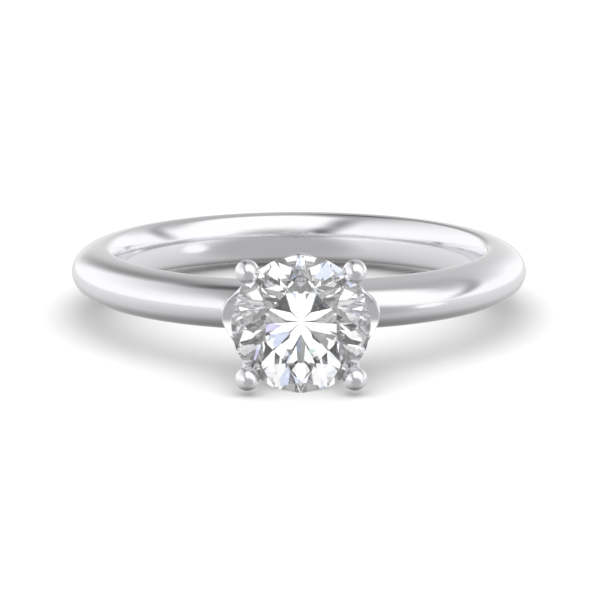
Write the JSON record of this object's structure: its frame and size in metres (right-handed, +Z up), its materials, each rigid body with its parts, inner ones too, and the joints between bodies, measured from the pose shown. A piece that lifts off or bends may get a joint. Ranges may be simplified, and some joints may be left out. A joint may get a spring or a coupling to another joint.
{
  "type": "solitaire engagement ring",
  "caption": "Plain rounded band in polished white metal, lying on its side, with a claw-set round brilliant stone on a petal-shouldered head.",
  "frame": {"origin": "centre of the finger bore, half way along the band's width", "axes": "+Z up from the table the ring lies on, +Y away from the stone, so the stone faces -Y; +X to the right as the stone is seen. At rest the finger axis leans 4.6 degrees from +Z towards +Y."},
  "size_m": [0.0196, 0.0238, 0.006],
  "materials": {
    "band_metal": "mirror-polished rhodium-plated white gold",
    "head_metal": "mirror-polished white gold wire with burnished ball tips",
    "diamond": "colourless, polished flat facets"
  },
  "bodies": {
    "root": {"shank": "band_metal", "shoulder_petal_left": "band_metal", "shoulder_petal_right": "band_metal", "claw_upper_left": "head_metal", "claw_upper_right": "head_metal", "claw_lower_left": "head_metal", "claw_lower_right": "head_metal", "gallery_rail": "head_metal", "base_rail": "head_metal", "diamond": "diamond"}
  },
  "joints": []
}
